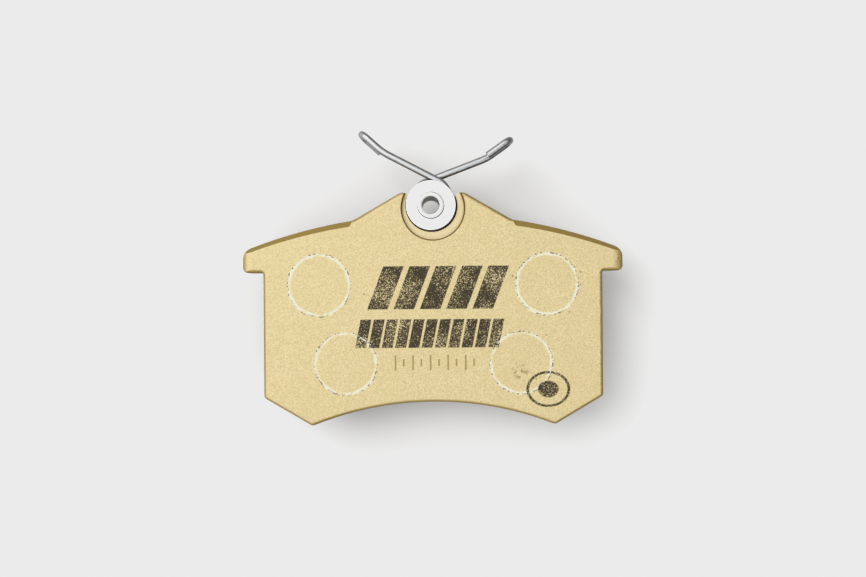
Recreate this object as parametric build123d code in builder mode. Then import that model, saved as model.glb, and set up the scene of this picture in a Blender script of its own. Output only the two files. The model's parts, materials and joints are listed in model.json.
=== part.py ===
from build123d import *
import os
from math import acos, asin, cos, degrees, hypot, radians, sin, sqrt, tan

# A disc brake pad with a wire retaining spring, lying on its friction face.
#
# Millimetres and degrees. +Z points from the friction face to the steel back, +Y points away
# from the brake disc's axis, and X runs along the pad. The origin is on the friction face, on
# the pad's line of symmetry, halfway up the whole part.

# ---------------------------------------------------------------- levels along Z
lining_height = 9.3
underlayer_height = 2.0
film_height = 0.2
film_play = 0.02            # the film stands clear of the plugs that pass through it
plate_thickness = 5.5

underlayer_z = lining_height
film_z = underlayer_z + underlayer_height
front_z = film_z + film_height
back_z = front_z + plate_thickness

# ---------------------------------------------------------------- backing plate outline
part_middle = 103.12        # the origin's height above the disc's axis
inner_radius = 74.4         # lower arc, about the disc's axis
shoulder_radius = 117.5     # upper arc, about the disc's axis
body_half_width = 38.8
ear_half_width = 43.5
ear_underside = 104.14      # above the disc's axis
lower_chamfer_angle = 30.6
lower_chamfer_reach = 45.28  # from the disc's axis, square to the chamfer
hump_slope = 30.0
hump_reach = 109.55         # from the disc's axis, square to the slope
lobe_radius = 2.07          # rounded tip on each side of the spring pocket
lobe_half_spacing = 6.76

ear_top_round = 3.0
ear_low_round = 1.3
ear_root_round = 0.5
hump_root_round = 3.0
side_round = 1.0
lower_tip_round = 1.2
edge_roll = 0.9             # rounding of the back edges left by the press
front_edge_round = 0.2
ear_roll_width = 2.4        # the ears' ends are rolled over further
ear_roll_depth = 1.0
overshoot = 1.0             # how far a cutting tool runs past the metal
tolerance = 0.05            # for finding a corner by its place

# ---------------------------------------------------------------- shoulder bevels
bevel_start = 8.4           # angle from the line of symmetry to its inner edge's end
bevel_sweep = 18.0
bevel_end_slant = 26.0      # its end slants towards the middle on the way out
bevel_inner_radius = 115.76
bevel_shift = 2.02          # its arc is drawn about a shifted centre, so that it tapers
bevel_depth = 1.9
bevel_overshoot = 3.0
bevel_run_up = 2.0          # the cutter starts this much nearer the middle

# ---------------------------------------------------------------- keying holes and plugs
keying_radius = 7.0
keying_holes = {
    "upper_left": (-26.0, 101.2),
    "upper_right": (26.0, 101.2),
    "lower_left": (-20.0, 83.25),
    "lower_right": (20.0, 83.25),
}

# ---------------------------------------------------------------- stamped marks
mark_count = 5
mark_pitch = 4.0
mark_x = 0.3
mark_y = -19.7
mark_height = 3.4
mark_short_height = 1.6
mark_line_width = 0.36
mark_line_spacing = 1.9
mark_depth = 0.12

# ---------------------------------------------------------------- spring pocket
pocket_radius = 7.23        # a shallow round step, which the coil's well is sunk into
pocket_x = 0.06
pocket_height = 118.67      # above the disc's axis
pocket_z = 16.0
well_radius = 5.98
well_z = 12.7
boss_radius = 7.0
boss_z = 9.1                # the well's floor stands out of the plate's front
tab_radius = 4.7
tab_root_height = 120.5     # above the disc's axis
tab_root_round = 0.3
clearance_radius = 8.2      # bay in the lining round the boss

# ---------------------------------------------------------------- rivet, bush and washer
rivet_x = -0.35
rivet_height = 119.33       # above the disc's axis
rivet_bore_radius = 2.1
rivet_radius = 2.6
rivet_head_radius = 3.9
rivet_head_height = 0.8
rivet_lip_radius = 2.98
rivet_flare = 0.38          # the lip opens into the washer's countersink
rivet_head_round = 0.4
rivet_play = 0.05
bush_radius = 3.7
washer_radius = 5.7
washer_thickness = 0.8
washer_top_z = 16.9
washer_round = 0.15
washer_countersink = 0.45

# ---------------------------------------------------------------- spring
spring_x = -0.23            # the coil lies loose round the bush and is centred by its well
spring_height = 119.25      # above the disc's axis
wire_radius = 0.81
coil_radius = 5.05
coil_end_gap = 1.0          # degrees between the coil's cut and each arm's
lower_wire_z = 13.54
upper_wire_z = 15.24
knee_turn = 32.8            # each arm leaves the coil straight, then turns back at a knee
knee_radius = 3.9
arm_bend_radius = 12.0
fold_radius = 2.0           # U-bend at each arm's tip, on the wire's middle line
left_arm = {
    "z": upper_wire_z,
    "winds": 1,             # turning counter-clockwise winds the coil up
    "heading": 152.4,
    "reach": 5.97,          # from the coil's axis, square to the arm
    "straight": 15.76,      # from the foot of that square to the bend
    "tip_heading": 137.9,
    "tip_length": 4.6,
    "fold": -1,             # the tip folds down
    "return": 3.7,
}
right_arm = {
    "z": lower_wire_z,
    "winds": -1,
    "heading": 20.75,
    "reach": 5.94,
    "straight": 16.2,
    "tip_heading": 35.3,
    "tip_length": 4.25,
    "fold": 1,
    "return": 4.4,
}

# ---------------------------------------------------------------- friction lining
lining_inset = 1.2
lining_corner_round = 2.0
slot_width = 2.5
slot_depth = 7.8
end_chamfer_length = 8.0
end_chamfer_angle = 25.0


def above_axis(height):
    """The Y of a height above the brake disc's axis."""
    return height - part_middle


disc_axis = (0, above_axis(0))
rivet_at = (rivet_x, above_axis(rivet_height))
spring_at = (spring_x, above_axis(spring_height))
pocket_at = (pocket_x, above_axis(pocket_height))


def on_arc(radius, x):
    """The point at x on an upper arc about the disc's axis."""
    return (x, above_axis(sqrt(radius**2 - x**2)))


def corners(profile, x, y):
    """The profile's corners at (x, y) and at its mirror image."""
    return profile.vertices().filter_by(lambda v: hypot(abs(v.X) - x, v.Y - y) < tolerance)


def chamfer_tip(radius, reach):
    """Angle from the line of symmetry at which a lower arc meets the lower chamfer."""
    return degrees(acos(reach / radius)) - lower_chamfer_angle


def chamfer_height(x, reach):
    """The Y of the lower chamfer at x."""
    rise = (x * sin(radians(lower_chamfer_angle)) + reach) / cos(radians(lower_chamfer_angle))
    return above_axis(rise)


# ---------------------------------------------------------------- profiles
with BuildSketch() as plate_profile:
    tip_angle = chamfer_tip(inner_radius, lower_chamfer_reach)
    side_foot = (body_half_width, chamfer_height(body_half_width, lower_chamfer_reach))
    ear_root = (body_half_width, above_axis(ear_underside))
    ear_low = (ear_half_width, above_axis(ear_underside))
    ear_top = on_arc(shoulder_radius, ear_half_width)
    ear_top_angle = degrees(acos(ear_half_width / shoulder_radius))
    hump_angle = hump_slope - degrees(acos(hump_reach / shoulder_radius))
    lobe_rise = (hump_reach - lobe_radius - lobe_half_spacing * sin(radians(hump_slope)))
    lobe_at = (lobe_half_spacing, above_axis(lobe_rise / cos(radians(hump_slope))))
    tab_root_y = above_axis(tab_root_height)
    lobe_sweep = 180 - degrees(asin((tab_root_y - lobe_at[1]) / lobe_radius)) - 90 + hump_slope
    with BuildLine():
        lower_arc = CenterArc(disc_axis, inner_radius, 90 - tip_angle, tip_angle)
        Polyline(lower_arc @ 0, side_foot, ear_root, ear_low, ear_top)
        shoulder = CenterArc(
            disc_axis, shoulder_radius, ear_top_angle, 90 - hump_angle - ear_top_angle
        )
        lobe = CenterArc(lobe_at, lobe_radius, 90 - hump_slope, lobe_sweep)
        Line(shoulder @ 1, lobe @ 0)
        Line(lobe @ 1, (0, tab_root_y))
        mirror(about=Plane.YZ)
    make_face()
    with Locations(rivet_at):
        Circle(tab_radius)
    fillet(corners(plate_profile, (lower_arc @ 0).X, (lower_arc @ 0).Y), lower_tip_round)
    fillet(corners(plate_profile, *side_foot), side_round)
    fillet(corners(plate_profile, *ear_root), ear_root_round)
    fillet(corners(plate_profile, *ear_low), ear_low_round)
    fillet(corners(plate_profile, *ear_top), ear_top_round)
    fillet(corners(plate_profile, (shoulder @ 1).X, (shoulder @ 1).Y), hump_root_round)

with BuildSketch() as lining_profile:
    lining_side = body_half_width - lining_inset
    lining_lower = inner_radius + lining_inset
    lining_reach = lower_chamfer_reach + lining_inset
    lining_upper = shoulder_radius - lining_inset
    lining_tip_angle = chamfer_tip(lining_lower, lining_reach)
    lining_foot = (lining_side, chamfer_height(lining_side, lining_reach))
    lining_top = on_arc(lining_upper, lining_side)
    lining_top_angle = degrees(acos(lining_side / lining_upper))
    with BuildLine():
        lining_arc = CenterArc(disc_axis, lining_lower, 90 - lining_tip_angle, lining_tip_angle)
        Polyline(lining_arc @ 0, lining_foot, lining_top)
        CenterArc(disc_axis, lining_upper, lining_top_angle, 90 - lining_top_angle)
        mirror(about=Plane.YZ)
    make_face()
    fillet(corners(lining_profile, *lining_top), lining_corner_round)
    fillet(corners(lining_profile, *lining_foot), side_round)
    fillet(corners(lining_profile, (lining_arc @ 0).X, (lining_arc @ 0).Y), lower_tip_round)
    with Locations(pocket_at):
        Circle(clearance_radius, mode=Mode.SUBTRACT)


# ---------------------------------------------------------------- backing plate
def cut_shoulder_bevel(side):
    """Cut the long tapering bevel along one shoulder; side is 1 on the right, -1 on the left."""
    centre = Vector(side * bevel_shift, disc_axis[1], back_z)
    outward = Vector(side * sin(radians(bevel_start)), cos(radians(bevel_start)), 0)
    width = shoulder_radius + bevel_overshoot - bevel_inner_radius
    drop = bevel_depth * width / (shoulder_radius - bevel_inner_radius)
    inner_end = centre + outward * bevel_inner_radius
    past_end = Vector(side * cos(radians(bevel_end_slant)), sin(radians(bevel_end_slant)), 0)
    first_side = outward.rotate(Axis.Z, side * bevel_run_up)
    section = Plane(centre, x_dir=first_side, z_dir=first_side.cross(Vector(0, 0, 1)))
    with BuildSketch(section) as wedge:
        with BuildLine():
            Polyline(
                (bevel_inner_radius, 0),
                (bevel_inner_radius + width, -drop),
                (bevel_inner_radius + width, overshoot),
                (bevel_inner_radius, overshoot),
                close=True,
            )
        make_face()
    axis = Axis(centre, (0, 0, -side))
    with BuildPart() as cutter:
        revolve(wedge.sketch, axis=axis, revolution_arc=bevel_sweep)
        split(bisect_by=Plane(inner_end, z_dir=past_end), keep=Keep.TOP)
    add(cutter.part, mode=Mode.SUBTRACT)


def roll_ears():
    """Roll the back edge over at both ears' ends, in a quarter of an ellipse."""
    with BuildSketch(Plane.XZ) as beyond_roll:
        with BuildLine():
            roll_middle = (ear_half_width - ear_roll_width, back_z - ear_roll_depth)
            EllipticalCenterArc(roll_middle, ear_roll_width, ear_roll_depth, arc_size=90)
            Polyline(
                (ear_half_width, roll_middle[1]),
                (ear_half_width + overshoot, roll_middle[1]),
                (ear_half_width + overshoot, back_z + overshoot),
                (roll_middle[0], back_z + overshoot),
                (roll_middle[0], back_z),
            )
        make_face()
        mirror(about=Plane.YZ)
    extrude(beyond_roll.sketch, amount=part_middle, both=True, mode=Mode.SUBTRACT)


with BuildPart() as backing_plate:
    with BuildSketch(Plane.XY.offset(front_z)):
        add(plate_profile.sketch)
    extrude(amount=plate_thickness)
    fillet(faces().sort_by(Axis.Z)[-1].edges(), edge_roll)
    fillet(faces().sort_by(Axis.Z)[0].edges(), front_edge_round)
    for side in (1, -1):
        cut_shoulder_bevel(side)
    roll_ears()
    with BuildSketch(Plane.XY.offset(pocket_z)):
        with Locations(pocket_at):
            Circle(pocket_radius)
    extrude(amount=plate_thickness, mode=Mode.SUBTRACT)
    with BuildSketch(Plane.XY.offset(well_z)):
        with Locations(spring_at):
            Circle(well_radius)
    extrude(amount=plate_thickness, mode=Mode.SUBTRACT)
    with BuildSketch(Plane.XY.offset(boss_z)):
        add(plate_profile.sketch)
        with Locations(pocket_at):
            Circle(boss_radius, mode=Mode.INTERSECT)
    extrude(amount=front_z - boss_z)
    with Locations(Plane.XY.offset(back_z)):
        with Locations([(x, above_axis(height)) for x, height in keying_holes.values()]):
            Hole(keying_radius)
        with Locations(rivet_at):
            Hole(rivet_radius + rivet_play)
    with BuildSketch(Plane.XY.offset(back_z)):
        with Locations((mark_x, mark_y)):
            with GridLocations(mark_pitch, 0, mark_count, 1):
                with Locations((-mark_line_spacing / 2, 0)):
                    Rectangle(mark_line_width, mark_height)
                with Locations((mark_line_spacing / 2, 0)):
                    Rectangle(mark_line_width, mark_short_height)
    extrude(amount=-mark_depth, mode=Mode.SUBTRACT)
backing_plate.part.label = "backing_plate"

# ---------------------------------------------------------------- friction material
with BuildPart() as friction_lining:
    with BuildSketch():
        add(lining_profile.sketch)
    extrude(amount=lining_height)
    with BuildSketch():
        Rectangle(slot_width, 2 * body_half_width)
    extrude(amount=slot_depth, mode=Mode.SUBTRACT)
    with BuildSketch(Plane.XZ):
        with BuildLine():
            chamfer_rise = end_chamfer_length * tan(radians(end_chamfer_angle))
            Polyline(
                (lining_side - end_chamfer_length, 0),
                (lining_side + end_chamfer_length, 2 * chamfer_rise),
                (lining_side + end_chamfer_length, 0),
                close=True,
            )
        make_face()
        mirror(about=Plane.YZ)
    extrude(amount=part_middle, both=True, mode=Mode.SUBTRACT)
friction_lining.part.label = "friction_lining"

with BuildPart() as underlayer:
    with BuildSketch(Plane.XY.offset(underlayer_z)):
        add(lining_profile.sketch)
    extrude(amount=underlayer_height)
underlayer.part.label = "underlayer"

with BuildPart() as adhesive_film:
    with BuildSketch(Plane.XY.offset(film_z)):
        add(lining_profile.sketch)
        with Locations([(x, above_axis(height)) for x, height in keying_holes.values()]):
            Circle(keying_radius + film_play, mode=Mode.SUBTRACT)
    extrude(amount=film_height)
adhesive_film.part.label = "adhesive_film"


def make_keying_plug(x, height):
    """One plug of underlayer compound, filling its hole up to the plate's back."""
    with BuildPart() as plug:
        with BuildSketch(Plane.XY.offset(film_z)):
            with Locations((x, above_axis(height))):
                Circle(keying_radius)
        extrude(amount=back_z - film_z)
    return plug.part


# ---------------------------------------------------------------- rivet, bush and washer
with BuildPart() as tubular_rivet:
    with BuildSketch(Plane.XZ.offset(-rivet_at[1])):
        with BuildLine():
            head_z = boss_z - rivet_head_height
            lip_middle = (rivet_bore_radius + rivet_lip_radius) / 2
            wall = Polyline(
                (rivet_x + rivet_bore_radius, washer_top_z),
                (rivet_x + rivet_bore_radius, head_z),
                (rivet_x + rivet_head_radius, head_z),
                (rivet_x + rivet_head_radius, boss_z),
                (rivet_x + rivet_radius, boss_z),
                (rivet_x + rivet_radius, washer_top_z - rivet_flare),
                (rivet_x + rivet_lip_radius, washer_top_z),
            )
            ThreePointArc(wall @ 1, (rivet_x + lip_middle, back_z), wall @ 0)
        make_face()
    revolve(axis=Axis((*rivet_at, 0), (0, 0, 1)))
    head_rim = edges().filter_by(GeomType.CIRCLE).group_by(Axis.Z)[0].sort_by(SortBy.RADIUS)[-1]
    fillet(head_rim, rivet_head_round)
tubular_rivet.part.label = "tubular_rivet"

with BuildPart() as spacer_bush:
    with BuildSketch(Plane.XY.offset(well_z)):
        with Locations(rivet_at):
            Circle(bush_radius)
            Circle(rivet_radius + rivet_play, mode=Mode.SUBTRACT)
    extrude(amount=washer_top_z - washer_thickness - well_z)
spacer_bush.part.label = "spacer_bush"

with BuildPart() as retaining_washer:
    with BuildSketch(Plane.XY.offset(washer_top_z - washer_thickness)):
        with Locations(rivet_at):
            Circle(washer_radius)
            Circle(rivet_radius + rivet_play, mode=Mode.SUBTRACT)
    extrude(amount=washer_thickness)
    hole_rims = edges().filter_by(GeomType.CIRCLE).group_by(SortBy.RADIUS)[0]
    chamfer(hole_rims.sort_by(Axis.Z)[-1], washer_countersink)
    fillet(edges().filter_by(GeomType.CIRCLE).group_by(SortBy.RADIUS)[-1], washer_round)
retaining_washer.part.label = "retaining_washer"

# ---------------------------------------------------------------- spring
def from_spring(distance, angle, z):
    """A point at a distance and an angle from the coil's axis, at the level z."""
    return Vector(*spring_at, z) + Vector(distance, 0, 0).rotate(Axis.Z, angle)


def coil_angle(arm):
    """The angle about the coil's axis at which an arm leaves the coil."""
    return arm["heading"] - arm["winds"] * (90 + knee_turn)


def wire_along(path):
    """Fill the round wire along a path."""
    with BuildSketch(Plane(origin=path @ 0, z_dir=path % 0)) as wire:
        Circle(wire_radius)
    sweep(wire.sketch, path=path)


def arm_line(arm):
    """An arm's middle line: from the coil to its knee and bend, round the fold and back."""
    knee_length = (arm["reach"] - coil_radius * cos(radians(knee_turn))) / sin(radians(knee_turn))
    leaving = Vector(1, 0, 0).rotate(Axis.Z, arm["heading"] - arm["winds"] * knee_turn)
    along = Vector(1, 0, 0).rotate(Axis.Z, arm["heading"])
    outward = Vector(1, 0, 0).rotate(Axis.Z, arm["tip_heading"])
    rise = Vector(0, 0, arm["fold"] * fold_radius)
    start = from_spring(coil_radius, coil_angle(arm), arm["z"])
    knee = start + leaving * knee_length
    bend = from_spring(arm["reach"], arm["heading"] - 90 * arm["winds"], arm["z"])
    bend += along * arm["straight"]
    fold_start = bend + outward * arm["tip_length"]
    FilletPolyline(start, knee, bend, fold_start, radius=(knee_radius, arm_bend_radius))
    fold = ThreePointArc(fold_start, fold_start + outward * fold_radius + rise, fold_start + rise * 2)
    Line(fold @ 1, (fold @ 1) - outward * arm["return"])


with BuildPart() as spring_coil:
    coil_start = coil_angle(right_arm) + coil_end_gap
    coil_sweep = coil_angle(left_arm) + 360 - coil_end_gap - coil_start
    coil_rise = upper_wire_z - lower_wire_z
    helix = Helix(
        pitch=coil_rise * 360 / coil_sweep,
        height=coil_rise,
        radius=coil_radius,
        center=(*spring_at, lower_wire_z),
        mode=Mode.PRIVATE,
    )
    with BuildLine() as coil_line:
        add(helix.rotate(Axis((*spring_at, 0), (0, 0, 1)), coil_start))
    wire_along(coil_line.line)
spring_coil.part.label = "spring_coil"

with BuildPart() as spring_arm_left:
    with BuildLine() as left_line:
        arm_line(left_arm)
    wire_along(left_line.line)
spring_arm_left.part.label = "spring_arm_left"

with BuildPart() as spring_arm_right:
    with BuildLine() as right_line:
        arm_line(right_arm)
    wire_along(right_line.line)
spring_arm_right.part.label = "spring_arm_right"

# ---------------------------------------------------------------- one file for each piece
pieces = [backing_plate.part, friction_lining.part, underlayer.part, adhesive_film.part]
for place, (x, height) in keying_holes.items():
    plug = make_keying_plug(x, height)
    plug.label = f"keying_plug_{place}"
    pieces.append(plug)
pieces += [tubular_rivet.part, spacer_bush.part, retaining_washer.part]
pieces += [spring_coil.part, spring_arm_left.part, spring_arm_right.part]

os.makedirs("parts", exist_ok=True)
for piece in pieces:
    export_step(piece, f"parts/{piece.label}.step")
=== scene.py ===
import json
import math

import bpy
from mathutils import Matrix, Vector, noise


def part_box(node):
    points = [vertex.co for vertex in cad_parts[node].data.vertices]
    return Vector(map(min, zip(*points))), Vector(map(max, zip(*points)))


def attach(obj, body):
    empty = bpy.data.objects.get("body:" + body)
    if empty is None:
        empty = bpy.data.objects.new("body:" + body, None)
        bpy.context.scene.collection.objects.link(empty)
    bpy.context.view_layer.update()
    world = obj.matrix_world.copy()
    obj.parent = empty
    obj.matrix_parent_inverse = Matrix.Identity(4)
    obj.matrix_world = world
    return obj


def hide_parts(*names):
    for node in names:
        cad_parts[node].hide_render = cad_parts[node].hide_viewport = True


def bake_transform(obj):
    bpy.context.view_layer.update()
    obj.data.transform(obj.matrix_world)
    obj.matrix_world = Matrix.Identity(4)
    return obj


# A rear disc brake pad seen from its steel back: a gold-coated plate, four painted-over keying
# plugs, and a wire spring held by a washer and a hollow rivet.
#
# The scene is in metres and MM turns millimetres into metres. The materials' patterns, and the
# numbers named _MM, are in millimetres in the part's frame.

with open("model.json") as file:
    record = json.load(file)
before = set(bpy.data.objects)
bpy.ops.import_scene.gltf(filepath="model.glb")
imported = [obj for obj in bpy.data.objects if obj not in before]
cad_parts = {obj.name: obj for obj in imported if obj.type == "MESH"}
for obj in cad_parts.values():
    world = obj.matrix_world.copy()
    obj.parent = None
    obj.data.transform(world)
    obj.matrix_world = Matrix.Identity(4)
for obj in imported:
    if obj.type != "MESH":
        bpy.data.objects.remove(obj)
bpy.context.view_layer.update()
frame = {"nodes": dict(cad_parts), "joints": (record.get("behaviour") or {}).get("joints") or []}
MM = 0.001

# ---------------------------------------------------------------- places read from the frame
washer_low, washer_high = (Vector(corner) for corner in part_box("retaining_washer"))
PLUGS = sorted(name for name in frame["nodes"] if name.startswith("keying_plug"))
swivel = next(joint for joint in frame["joints"] if joint["name"] == "spring_swivel")
COIL_X, COIL_Y = swivel["pos_m"][0], swivel["pos_m"][1]
BACK_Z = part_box(PLUGS[0])[1][2]
BACK_MM = BACK_Z / MM

# ---------------------------------------------------------------- the camera and the print
CAMERA_DISTANCE = 150 * MM
SEEN_WIDTH = 197.3 * MM     # of the back's plane, across the picture
VIEW_Y = -2.82 * MM         # the picture's middle falls this far below the part's middle
CAMERA_ROLL = -0.43         # degrees
SENSOR_WIDTH = 36
PAPER_WHITE = 0.83          # the brightest tone printed

# ---------------------------------------------------------------- places on the coat
STEP_MIDDLE_MM = (0.06, 15.55)      # the round step the spring lies in
STEP_RADIUS_MM = 7.23
SCUFF_MM = (19.6, -21.8)            # a scuff beside the oval
MARKS_X_MM = (-12, 12)              # the row of stamped strokes
MARKS_Y_MM = (-22, -17.5)
RIM_RADIUS_MM = 6.94                # the cracked paint round a plug

# ---------------------------------------------------------------- the spring
COIL_RADIUS = 5.05 * MM
WIRE_RADIUS = 0.81 * MM
COIL_SPLIT = 260                    # degrees round the coil, where its two halves meet
COIL_ENDS = {                       # where each arm leaves: degrees round the coil, height
    "left_arm": (389.6, 15.24 * MM),
    "right_arm": (143.55, 13.54 * MM),
}


def plug_centre(name):
    """The middle of a keying plug, as seen from the back."""
    low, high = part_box(name)
    return ((low[0] + high[0]) / 2, (low[1] + high[1]) / 2)


# ---------------------------------------------------------------- camera
def add_camera():
    """The camera looks straight down on the steel back from close by."""
    data = bpy.data.cameras.new("camera")
    data.sensor_width = SENSOR_WIDTH
    data.lens = SENSOR_WIDTH * CAMERA_DISTANCE / SEEN_WIDTH
    data.clip_start = 0.01
    camera = bpy.data.objects.new("camera", data)
    camera.location = (0, VIEW_Y, BACK_Z + CAMERA_DISTANCE)
    camera.rotation_euler = (0, 0, math.radians(CAMERA_ROLL))
    bpy.context.scene.collection.objects.link(camera)
    bpy.context.scene.camera = camera


# ---------------------------------------------------------------- shader building
def srgb(red, green, blue):
    """An 8-bit display colour as linear RGBA."""
    def linear(value):
        value /= 255
        return value / 12.92 if value <= 0.04045 else ((value + 0.055) / 1.055) ** 2.4
    return (linear(red), linear(green), linear(blue), 1)


class Shader:
    """One material. Its pattern coordinates are millimetres in the part's frame."""

    def __init__(self, name, roughness, metallic=0.0):
        self.material = bpy.data.materials.new(name)
        self.material.use_nodes = True
        self.tree = self.material.node_tree
        self.surface = self.tree.nodes["Principled BSDF"]
        self.surface.inputs["Roughness"].default_value = roughness
        self.surface.inputs["Metallic"].default_value = metallic
        coordinates = self.tree.nodes.new("ShaderNodeTexCoord")
        self.normal = coordinates.outputs["Normal"]
        scale = self.tree.nodes.new("ShaderNodeVectorMath")
        scale.operation = "SCALE"
        scale.inputs["Scale"].default_value = 1 / MM
        self.tree.links.new(coordinates.outputs["Object"], scale.inputs[0])
        self.place = scale.outputs[0]
        self.x, self.y, self.z = self.split(self.place)

    def node(self, kind, *inputs, output=0, **settings):
        """Add a node, feed its inputs in order with sockets or values, and return one output."""
        node = self.tree.nodes.new(kind)
        for key, value in settings.items():
            setattr(node, key, value)
        for socket, value in zip(node.inputs, inputs):
            self.feed(socket, value)
        return node.outputs[output]

    def feed(self, socket, value):
        """Link a socket to an input, or set the input to a value."""
        if isinstance(value, bpy.types.NodeSocket):
            self.tree.links.new(value, socket)
        else:
            socket.default_value = value

    def split(self, vector):
        """The x, y and z of a vector."""
        node = self.tree.nodes.new("ShaderNodeSeparateXYZ")
        self.tree.links.new(vector, node.inputs[0])
        return node.outputs[0], node.outputs[1], node.outputs[2]

    def math(self, operation, *values):
        return self.node("ShaderNodeMath", *values, operation=operation)

    def product(self, first, second):
        return self.math("MULTIPLY", first, second)

    def vector_math(self, operation, first, second, output=0):
        return self.node("ShaderNodeVectorMath", first, second, operation=operation, output=output)

    def ramp(self, value, low, high, to_low=0.0, to_high=1.0):
        """Turn low..high into to_low..to_high, smoothly and clamped."""
        return self.node(
            "ShaderNodeMapRange", value, low, high, to_low, to_high,
            interpolation_type="SMOOTHSTEP",
        )

    def within(self, value, low, high, soft):
        """1 where value is between low and high, with soft edges."""
        rise = self.ramp(value, low - soft, low + soft)
        fall = self.ramp(value, high - soft, high + soft, 1.0, 0.0)
        return self.product(rise, fall)

    def away_from(self, middle):
        """The distance from a place (x, y), as seen from the back."""
        flat = self.node("ShaderNodeCombineXYZ", self.x, self.y, 0.0)
        return self.vector_math("DISTANCE", flat, (*middle, 0), output=1)

    def noise(self, size, detail=2.0, rough=0.5):
        """Noise from 0 to 1 whose lumps are about size millimetres."""
        node = self.tree.nodes.new("ShaderNodeTexNoise")
        self.feed(node.inputs["Vector"], self.place)
        node.inputs["Scale"].default_value = 1 / size
        node.inputs["Detail"].default_value = detail
        node.inputs["Roughness"].default_value = rough
        return node.outputs["Fac"]

    def chips(self, spacing, share, place):
        """Scattered chips of every size up to share of their spacing, 1 inside and 0 outside."""
        node = self.tree.nodes.new("ShaderNodeTexVoronoi")
        self.feed(node.inputs["Vector"], place)
        node.inputs["Scale"].default_value = 1 / spacing
        chance, _, _ = self.split(node.outputs["Color"])
        reach = self.product(self.math("POWER", chance, 2.5), share)
        outside = self.math("SUBTRACT", node.outputs["Distance"], reach)
        return self.ramp(outside, -0.06, 0.0, 1.0, 0.0)

    def wandering(self, size, distance):
        """The pattern coordinates, pushed about by up to distance millimetres."""
        node = self.tree.nodes.new("ShaderNodeTexNoise")
        self.feed(node.inputs["Vector"], self.place)
        node.inputs["Scale"].default_value = 1 / size
        shift = self.vector_math("SUBTRACT", node.outputs["Color"], (0.5, 0.5, 0.5))
        shift = self.vector_math("MULTIPLY", shift, (2 * distance,) * 3)
        return self.vector_math("ADD", self.place, shift)

    def mix(self, amount, first, second):
        """Mix two colours."""
        node = self.tree.nodes.new("ShaderNodeMix")
        node.data_type = "RGBA"
        self.feed(node.inputs[0], amount)
        self.feed(node.inputs[6], first)
        self.feed(node.inputs[7], second)
        return node.outputs[2]

    def colour(self, value):
        self.feed(self.surface.inputs["Base Color"], value)

    def roughness(self, value):
        self.feed(self.surface.inputs["Roughness"], value)

    def specular(self, level):
        """One specular level for the whole surface, set on its own socket."""
        self.surface.inputs["Specular IOR Level"].default_value = level

    def bump(self, height, depth, strength=1.0):
        """Shade by a height from 0 to 1 that stands for depth millimetres."""
        node = self.tree.nodes.new("ShaderNodeBump")
        node.inputs["Strength"].default_value = strength
        node.inputs["Distance"].default_value = depth * MM
        self.tree.links.new(height, node.inputs["Height"])
        self.tree.links.new(node.outputs["Normal"], self.surface.inputs["Normal"])


# ---------------------------------------------------------------- ink on the coat
def ink_bars(shader, x_range, y_range, period, width, slant):
    """A row of slanted bars, period apart and width wide."""
    soft = 0.08
    leaning = shader.math("MULTIPLY_ADD", shader.y, -slant, shader.x)
    first_bar = x_range[0] + width / 2
    across = shader.math("PINGPONG", shader.math("SUBTRACT", leaning, first_bar), period / 2)
    bar = shader.ramp(across, width / 2 - soft, width / 2 + soft, 1.0, 0.0)
    row = shader.within(shader.y, *y_range, soft)
    ends = shader.within(leaning, *x_range, soft)
    return shader.product(bar, shader.product(row, ends))


def ink_oval(shader, centre, half_width, half_height):
    """An oval ring round a solid dot."""
    right = shader.math("DIVIDE", shader.math("SUBTRACT", shader.x, centre[0]), half_width)
    up = shader.math("DIVIDE", shader.math("SUBTRACT", shader.y, centre[1]), half_height)
    squares = shader.math("ADD", shader.math("POWER", right, 2), shader.math("POWER", up, 2))
    away = shader.math("SQRT", squares)
    ring = shader.within(away, 0.87, 1.0, 0.02)
    dot = shader.ramp(away, 0.44, 0.5, 1.0, 0.0)
    return shader.math("MAXIMUM", ring, dot)


def ink_amount(shader):
    """How much worn ink lies on the coat."""
    big = ink_bars(
        shader, x_range=(-12.2, 16.6), y_range=(-7.5, 2.3), period=6.0, width=4.7, slant=0.38
    )
    strip = ink_bars(
        shader, x_range=(-14.6, 18.2), y_range=(-16.3, -9.8), period=3.03, width=2.5, slant=0.2
    )
    oval = ink_oval(shader, centre=(26.1, -25.9), half_width=5.0, half_height=4.1)
    grain = shader.noise(0.26, 3.0, rough=0.7)
    wear = shader.ramp(shader.noise(6.0, 1.0), 0.3, 0.75, 0.38, 0.48)
    kept = shader.ramp(shader.math("SUBTRACT", grain, wear), -0.06, 0.04)
    fresher = shader.ramp(grain, 0.37, 0.46)
    prints = shader.product(shader.math("MAXIMUM", big, strip), kept)
    return shader.math("MAXIMUM", prints, shader.product(oval, fresher))


# ---------------------------------------------------------------- layers of the powder coat
def speckled_gold(shader, grain):
    """The coat's own colour: fine grain, slow mottling, small specks and a few dark dots."""
    gold = shader.mix(shader.ramp(grain, 0.25, 0.75), srgb(186, 169, 121), srgb(224, 207, 160))
    mottle = shader.ramp(shader.noise(6.0), 0.35, 0.65, 0.0, 0.25)
    gold = shader.mix(mottle, gold, srgb(200, 182, 132))
    specks = shader.product(shader.chips(1.1, 0.17, shader.place), 0.55)
    gold = shader.mix(specks, gold, srgb(150, 118, 72))
    dots = shader.product(shader.chips(2.6, 0.13, shader.place), 0.6)
    return shader.mix(dots, gold, srgb(98, 74, 38))


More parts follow.
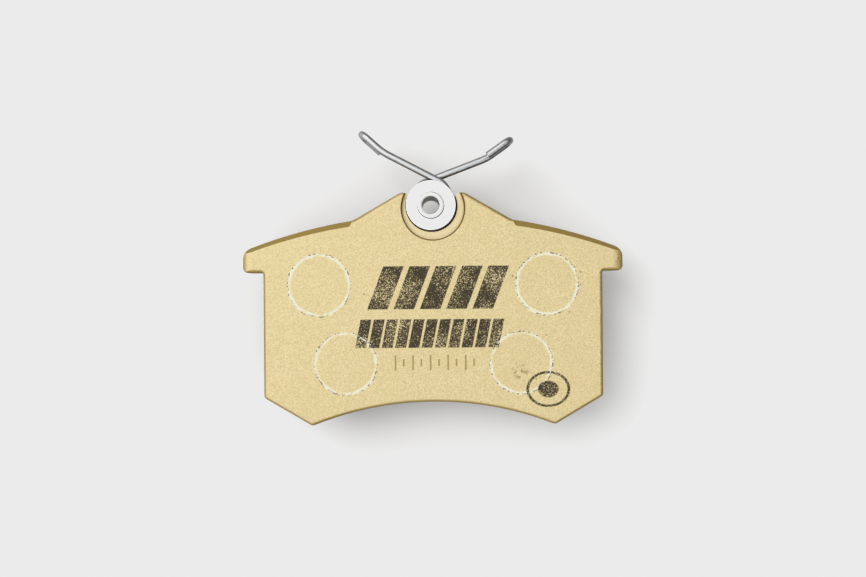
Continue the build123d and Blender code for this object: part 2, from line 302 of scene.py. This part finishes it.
def edge_layer(shader, gold, grain):
    """Painted shade on the coat where the edges roll over, deepest on edges facing right, away
    from the key light, and gold down the walls.
    """
    east, _, facing = shader.split(shader.normal)
    below_humps = shader.ramp(shader.y, 13.0, 15.5, 1.0, 0.35)
    # painted shade: the coat darkens as its surface tilts away from straight up, less so on the
    # humps
    painted_roll_shade = shader.product(shader.ramp(facing, 0.9, 0.9995, 0.85, 0.0), below_humps)
    gold = shader.mix(painted_roll_shade, gold, srgb(164, 141, 82))
    # painted shade on edges that face right, away from the key light, speckled by the grain
    painted_lee_shade = shader.product(
        shader.ramp(east, 0.01, 0.26, 0.0, 0.9), shader.ramp(grain, 0.35, 0.6, 1.0, 0.4)
    )
    gold = shader.mix(painted_lee_shade, gold, srgb(118, 92, 42))
    # painted shade: steeper faces turn brown
    painted_edge_shade = shader.ramp(facing, 0.55, 0.95, 1.0, 0.0)
    gold = shader.mix(painted_edge_shade, gold, srgb(130, 106, 34))
    wall = shader.ramp(facing, 0.04, 0.14, 1.0, 0.0)
    return shader.mix(wall, gold, shader.mix(grain, srgb(160, 140, 90), srgb(200, 181, 130)))


def step_layer(shader, gold):
    """Painted shadow of the step's wall as a dark line round the step, wider on its left, and
    painted light on the ledge inside it.
    """
    away = shader.away_from(STEP_MIDDLE_MM)
    # painted shadow of the step's wall, reaching further onto the ledge on the left, away from the
    # key light
    shadow_distance = shader.math("SUBTRACT", away, shader.ramp(shader.x, -7.0, -4.0, -0.12, 0.0))
    painted_wall_shadow = shader.within(shadow_distance, STEP_RADIUS_MM - 0.1, STEP_RADIUS_MM + 0.24, 0.08)
    gold = shader.mix(painted_wall_shadow, gold, srgb(104, 76, 16))
    # painted light that brightens the ledge inside the step
    painted_ledge_light = shader.product(
        shader.ramp(away, STEP_RADIUS_MM - 0.3, STEP_RADIUS_MM, 1.0, 0.0),
        shader.ramp(shader.z, BACK_MM - 1.3, BACK_MM - 1.1, 0.0, 0.4),
    )
    return shader.mix(painted_ledge_light, gold, srgb(236, 222, 182))


def crack_layer(shader, gold):
    """Cracked paint where each plug meets the plate: pale flakes and dark pits."""
    away = None
    for name in PLUGS:
        gap = shader.away_from([place / MM for place in plug_centre(name)])
        away = gap if away is None else shader.math("MINIMUM", away, gap)
    wander = shader.math("MULTIPLY_ADD", shader.noise(1.1), 0.5, -0.25)
    rim = shader.math("ADD", away, wander)
    flake = shader.within(rim, 6.58, 7.2, 0.3)
    patch = shader.product(
        shader.ramp(shader.noise(2.6), 0.3, 0.62, 0.25, 1.0),
        shader.ramp(shader.noise(0.3), 0.3, 0.6, 0.5, 0.9),
    )
    gold = shader.mix(shader.product(flake, patch), gold, srgb(240, 236, 220))
    pit = shader.within(rim, 6.98, 7.32, 0.06)
    pits = shader.product(pit, shader.ramp(shader.noise(0.42, 1.0), 0.5, 0.6))
    return shader.mix(shader.product(pits, 0.8), gold, srgb(78, 68, 50))


def mark_layer(shader, gold):
    """Painted shade in the stamped strokes, and the scuff."""
    # painted shade darkens the coat down in the stamped strokes
    stroke_shade = shader.ramp(shader.z, BACK_MM - 0.1, BACK_MM - 0.02, 1.0, 0.0)
    marked = shader.product(
        shader.within(shader.x, *MARKS_X_MM, 0.1), shader.within(shader.y, *MARKS_Y_MM, 0.1)
    )
    gold = shader.mix(shader.product(stroke_shade, marked), gold, srgb(168, 146, 92))
    scuff = shader.product(
        shader.ramp(shader.away_from(SCUFF_MM), 1.0, 2.8, 1.0, 0.0),
        shader.ramp(shader.noise(0.9, 3.0), 0.53, 0.6),
    )
    return shader.mix(shader.product(scuff, 0.75), gold, srgb(142, 118, 68))


# ---------------------------------------------------------------- materials
def coat_material():
    """Gold powder coat: speckled, with painted shade on its edges, round its step and in its
    stamped strokes, painted light on the step's ledge, cracked round the plugs, and printed.
    """
    shader = Shader("gold_powder_coat", 0.5, 0.1)
    grain = shader.noise(0.3, 3.0, rough=0.65)
    gold = speckled_gold(shader, grain)
    gold = edge_layer(shader, gold, grain)
    gold = step_layer(shader, gold)
    gold = crack_layer(shader, gold)
    gold = mark_layer(shader, gold)
    ink = ink_amount(shader)
    shader.colour(shader.mix(shader.product(ink, 0.95), gold, srgb(28, 20, 9)))
    shader.roughness(shader.ramp(ink, 0.0, 1.0, 0.5, 0.62))
    shader.specular(0.2)
    shader.bump(shader.math("ADD", shader.noise(0.8), shader.product(grain, 0.5)), 0.04, 0.8)
    return shader.material


def wire_material():
    """Oiled spring wire, with painted light bright on top and painted shade down its sides, most
    on the right.
    """
    shader = Shader("drawn_wire", 0.3, 1.0)
    marks = shader.noise(0.6, 4.0, rough=0.7)
    # painted light and shade from the normal: lighter facing up, darker facing right, mixed with
    # the marks
    east, north, up = shader.split(shader.normal)
    sideways = shader.math("MULTIPLY_ADD", east, -0.3, shader.product(north, -0.12))
    leaning = shader.math("MULTIPLY_ADD", up, 0.92, sideways)
    marks_and_painted_light = shader.ramp(shader.math("MULTIPLY_ADD", marks, 0.5, leaning), 0.8, 1.22)
    shader.colour(shader.mix(marks_and_painted_light, (0.17, 0.17, 0.165, 1), (0.62, 0.63, 0.64, 1)))
    shader.roughness(shader.ramp(marks, 0.3, 0.7, 0.36, 0.24))
    shader.bump(marks, 0.004, 0.5)
    return shader.material


def washer_material():
    """Bright zinc plate, with painted shade round the rivet's lip, deepest towards the bottom, and
    a little round its rim.
    """
    shader = Shader("bright_zinc", 0.45, 1.0)
    marks = shader.noise(0.5, 4.0, rough=0.65)
    zinc = shader.mix(
        shader.ramp(marks, 0.3, 0.7), (0.86, 0.86, 0.86, 1), (0.9, 0.9, 0.9, 1)
    )
    hub = ((washer_low.x + washer_high.x) / 2 / MM, (washer_low.y + washer_high.y) / 2 / MM)
    away = shader.away_from(hub)
    # painted shade in the ring where the rivet's lip meets the washer, deepest towards the bottom
    lip = shader.within(away, 2.94, 3.17, 0.06)
    below = shader.ramp(shader.y, hub[1] - 2.5, hub[1] + 1.5, 1.0, 0.15)
    # painted shade round the washer's rim
    rim = shader.ramp(away, 5.56, 5.68, 0.0, 0.1)
    painted_lip_and_rim_shade = shader.math("MAXIMUM", shader.product(lip, below), rim)
    shader.colour(shader.mix(painted_lip_and_rim_shade, zinc, (0.1, 0.09, 0.075, 1)))
    shader.roughness(shader.ramp(marks, 0.3, 0.7, 0.55, 0.4))
    shader.bump(marks, 0.004, 0.5)
    return shader.material


def rivet_material():
    """Zinc plate, with painted shade down the rivet's bore."""
    shader = Shader("zinc_plate", 0.4, 1.0)
    marks = shader.noise(0.5, 4.0, rough=0.65)
    zinc = shader.mix(shader.ramp(marks, 0.3, 0.7), (0.7, 0.7, 0.69, 1), (0.8, 0.8, 0.79, 1))
    # painted shade: darker the further down the bore
    depth = shader.ramp(shader.z, BACK_MM - 1.2, BACK_MM - 0.3, 1.0, 0.0)
    shader.colour(shader.mix(depth, zinc, (0.3, 0.29, 0.27, 1)))
    shader.roughness(shader.ramp(marks, 0.3, 0.7, 0.5, 0.34))
    shader.bump(marks, 0.004, 0.5)
    return shader.material


def compound_material(name, dark, light, chip_share):
    """Pressed friction compound: a mottled binder with pits, fibres, and chips of metal."""
    shader = Shader(name, 0.85)
    grain = shader.noise(0.5, 5.0, rough=0.7)
    body = shader.mix(shader.ramp(grain, 0.3, 0.75), dark, light)
    body = shader.mix(shader.ramp(shader.noise(5.0, 3.0), 0.35, 0.7, 0.0, 0.5), body, dark)
    drift = shader.wandering(0.3, 0.22)
    steel = shader.chips(0.9, chip_share, drift)
    brass = shader.chips(0.75, chip_share * 0.8, drift)
    lying = shader.vector_math("MULTIPLY", drift, (0.3, 1.0, 1.6))
    fibre = shader.chips(0.6, chip_share * 0.7, lying)
    body = shader.mix(shader.product(fibre, 0.6), body, srgb(140, 134, 120))
    body = shader.mix(brass, body, srgb(146, 112, 66))
    body = shader.mix(steel, body, srgb(140, 140, 138))
    shader.colour(body)
    metal = shader.math("MAXIMUM", steel, brass)
    shader.feed(shader.surface.inputs["Metallic"], shader.product(metal, 0.8))
    shader.roughness(shader.ramp(metal, 0.0, 1.0, 0.88, 0.4))
    pits = shader.ramp(shader.noise(0.8), 0.28, 0.42)
    texture = shader.math("ADD", shader.noise(0.15), pits)
    shader.bump(shader.math("ADD", grain, texture), 0.12, 0.8)
    return shader.material


def adhesive_material():
    """Cured adhesive, brown and slightly glossy, uneven in thickness."""
    shader = Shader("cured_adhesive", 0.4)
    pooled = shader.noise(1.5, 3.0)
    shader.colour(shader.mix(pooled, srgb(88, 58, 30), srgb(128, 92, 52)))
    shader.bump(pooled, 0.05, 0.5)
    return shader.material


def flake_material():
    """The lifted edge of cracked paint: chalky and pale."""
    shader = Shader("cracked_paint", 0.7)
    chalk = shader.noise(0.4, 3.0)
    shader.colour(shader.mix(chalk, srgb(206, 194, 160), srgb(238, 234, 222)))
    shader.bump(chalk, 0.02, 0.6)
    return shader.material


def dress(nodes, material):
    """Give some CAD nodes their material."""
    for name in nodes:
        piece = frame["nodes"][name]
        piece.data.materials.clear()
        piece.data.materials.append(material)


# ---------------------------------------------------------------- mesh pieces
def add_piece(name, points, faces, material, body=None):
    """Add a smooth mesh piece in the part's frame, which rides on body if it is given."""
    mesh = bpy.data.meshes.new(name)
    mesh.from_pydata(points, [], faces)
    mesh.polygons.foreach_set("use_smooth", [True] * len(faces))
    mesh.update()
    piece = bpy.data.objects.new(name, mesh)
    bpy.context.scene.collection.objects.link(piece)
    mesh.materials.append(material)
    if body:
        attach(piece, body)
    return piece


def tube(path, radius, sides=28):
    """Points and faces of a closed round tube along a path."""
    points, faces = [], []
    for index, middle in enumerate(path):
        before = path[max(index - 1, 0)]
        after = path[min(index + 1, len(path) - 1)]
        along = (after - before).normalized()
        side = along.cross(Vector((0, 0, 1))).normalized()
        up = side.cross(along)
        for step in range(sides):
            angle = math.tau * step / sides
            points.append(middle + radius * (side * math.cos(angle) + up * math.sin(angle)))
    for ring in range(len(path) - 1):
        for step in range(sides):
            first = ring * sides + step
            second = ring * sides + (step + 1) % sides
            faces.append((first, second, second + sides, first + sides))
    faces.append(tuple(reversed(range(sides))))
    last = (len(path) - 1) * sides
    faces.append(tuple(range(last, last + sides)))
    return points, faces


def add_coil(material):
    """The coil in two halves, each of which winds round to its own arm and bends into it."""
    steps = 90
    split = math.radians(COIL_SPLIT)
    low_angle, low_z = math.radians(COIL_ENDS["right_arm"][0]), COIL_ENDS["right_arm"][1]
    high_angle, high_z = math.radians(COIL_ENDS["left_arm"][0]), COIL_ENDS["left_arm"][1]
    for arm, (degrees, _) in COIL_ENDS.items():
        angle = math.radians(degrees)
        path = []
        for step in range(steps + 1):
            turned = split + (angle - split) * step / steps
            share = (turned - low_angle) / (high_angle - low_angle)
            path.append(Vector((
                COIL_X + COIL_RADIUS * math.cos(turned),
                COIL_Y + COIL_RADIUS * math.sin(turned),
                low_z + (high_z - low_z) * share * share * (3 - 2 * share),
            )))
        points, faces = tube(path, WIRE_RADIUS)
        half = add_piece(f"coil_wire_to_{arm}", points, faces, material)
        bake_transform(half)
        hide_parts("spring_coil")


def add_paint_rims(material):
    """The lifted edge of the paint round each plug, broken into flakes of uneven size."""
    steps = 320
    # across and up, as shares of the flake's half width and height
    profile = ((-1.0, -0.5), (-0.6, 0.6), (0.0, 1.0), (0.6, 0.6), (1.0, -0.5))
    sunk_mm = 0.05
    count = len(profile)
    for seed, name in enumerate(PLUGS):
        centre = plug_centre(name)
        points, faces = [], []
        for step in range(steps):
            angle = math.tau * step / steps
            spot = Vector((math.cos(angle), math.sin(angle), seed * 3.1))
            wander = 0.16 * noise.noise(spot * 4) + 0.14 * noise.noise(spot * 17)
            middle = (RIM_RADIUS_MM + wander) * MM
            lift = noise.noise(spot * 6 + Vector((0, 9, 0))) + 0.6 * noise.noise(spot * 19)
            present = min(max((lift - 0.02) / 0.3, 0), 1)
            breadth = 0.08 + 0.16 * abs(noise.noise(spot * 9 + Vector((5, 0, 0))))
            width = (0.04 + present * breadth) * MM
            height = (0.07 * present - 0.015) * MM
            for across, up in profile:
                reach = middle + across * width
                points.append((
                    centre[0] + reach * math.cos(angle),
                    centre[1] + reach * math.sin(angle),
                    BACK_Z + (height * up if up > 0 else up * sunk_mm * MM),
                ))
        for step in range(steps):
            here, ahead = step * count, (step + 1) % steps * count
            for side in range(count):
                beside = (side + 1) % count
                faces.append((here + side, ahead + side, ahead + beside, here + beside))
        add_piece(f"paint_rim_{name}", points, faces, material, "pad")


# ---------------------------------------------------------------- studio
def add_floor():
    """A plain pale floor."""
    shader = Shader("floor", 0.6)
    shader.colour((0.76, 0.76, 0.76, 1))
    shader.specular(0.0)
    half = 3.0
    corners = [(-half, -half, 0), (half, -half, 0), (half, half, 0), (-half, half, 0)]
    mesh = bpy.data.meshes.new("floor")
    mesh.from_pydata(corners, [], [(0, 1, 2, 3)])
    mesh.materials.append(shader.material)
    floor = bpy.data.objects.new("floor", mesh)
    bpy.context.scene.collection.objects.link(floor)


def add_softbox(name, bearing, height, distance, size, power):
    """A square area light aimed at the part.

    Its bearing is in degrees anticlockwise from +X, and its height in degrees above the floor.
    """
    flat = distance * math.cos(math.radians(height))
    place = Vector((
        flat * math.cos(math.radians(bearing)),
        flat * math.sin(math.radians(bearing)),
        distance * math.sin(math.radians(height)),
    ))
    data = bpy.data.lights.new(name, "AREA")
    data.size = size
    data.energy = power
    light = bpy.data.objects.new(name, data)
    light.location = place
    light.rotation_euler = (-place).to_track_quat("-Z", "Y").to_euler()
    bpy.context.scene.collection.objects.link(light)


def add_world():
    """A light tent: bright above, dimmer towards the horizon and towards the right."""
    world = bpy.data.worlds.new("tent")
    world.use_nodes = True
    tree = world.node_tree
    background = tree.nodes["Background"]
    background.inputs["Color"].default_value = (1, 1, 1, 1)
    coordinates = tree.nodes.new("ShaderNodeTexCoord")
    split = tree.nodes.new("ShaderNodeSeparateXYZ")
    tree.links.new(coordinates.outputs["Generated"], split.inputs[0])
    strength = tree.nodes.new("ShaderNodeMath")
    strength.operation = "MULTIPLY"
    dimming = (("Z", 0.1, 0.7, 0.45, 1.0), ("X", -0.2, 0.9, 1.0, 0.7))
    for factor, (axis, low, high, at_low, at_high) in zip(strength.inputs, dimming):
        ramp = tree.nodes.new("ShaderNodeMapRange")
        ramp.interpolation_type = "SMOOTHSTEP"
        ramp.inputs["From Min"].default_value = low
        ramp.inputs["From Max"].default_value = high
        ramp.inputs["To Min"].default_value = at_low
        ramp.inputs["To Max"].default_value = at_high
        tree.links.new(split.outputs[axis], ramp.inputs[0])
        tree.links.new(ramp.outputs[0], factor)
    tree.links.new(strength.outputs[0], background.inputs["Strength"])
    bpy.context.scene.world = world


def set_paper_white():
    """Hold every tone at or over the paper's white, as an overexposed backdrop is printed."""
    view = bpy.context.scene.view_settings
    view.view_transform = "Standard"
    view.use_curve_mapping = True
    mapping = view.curve_mapping
    combined = mapping.curves[3]
    combined.points[0].location = (0, 0)
    combined.points[1].location = (1, PAPER_WHITE)
    combined.points.new(PAPER_WHITE, PAPER_WHITE)
    for point in combined.points:
        point.handle_type = "VECTOR"
    mapping.extend = "HORIZONTAL"
    mapping.update()


# ---------------------------------------------------------------- the scene
add_camera()
wire_steel = wire_material()
dress(["backing_plate", *PLUGS], coat_material())
dress(["spring_arm_left", "spring_arm_right"], wire_steel)
dress(["tubular_rivet", "spacer_bush"], rivet_material())
dress(["retaining_washer"], washer_material())
dress(["friction_lining"], compound_material(
    "friction_compound", srgb(38, 36, 34), srgb(86, 82, 77), chip_share=0.5
))
dress(["underlayer"], compound_material(
    "underlayer_compound", srgb(62, 52, 42), srgb(108, 92, 74), chip_share=0.3
))
dress(["adhesive_film"], adhesive_material())
add_coil(wire_steel)
add_paint_rims(flake_material())
add_floor()
add_softbox("key_softbox", bearing=152, height=54, distance=2.5, size=1.5, power=34)
add_world()
set_paper_white()
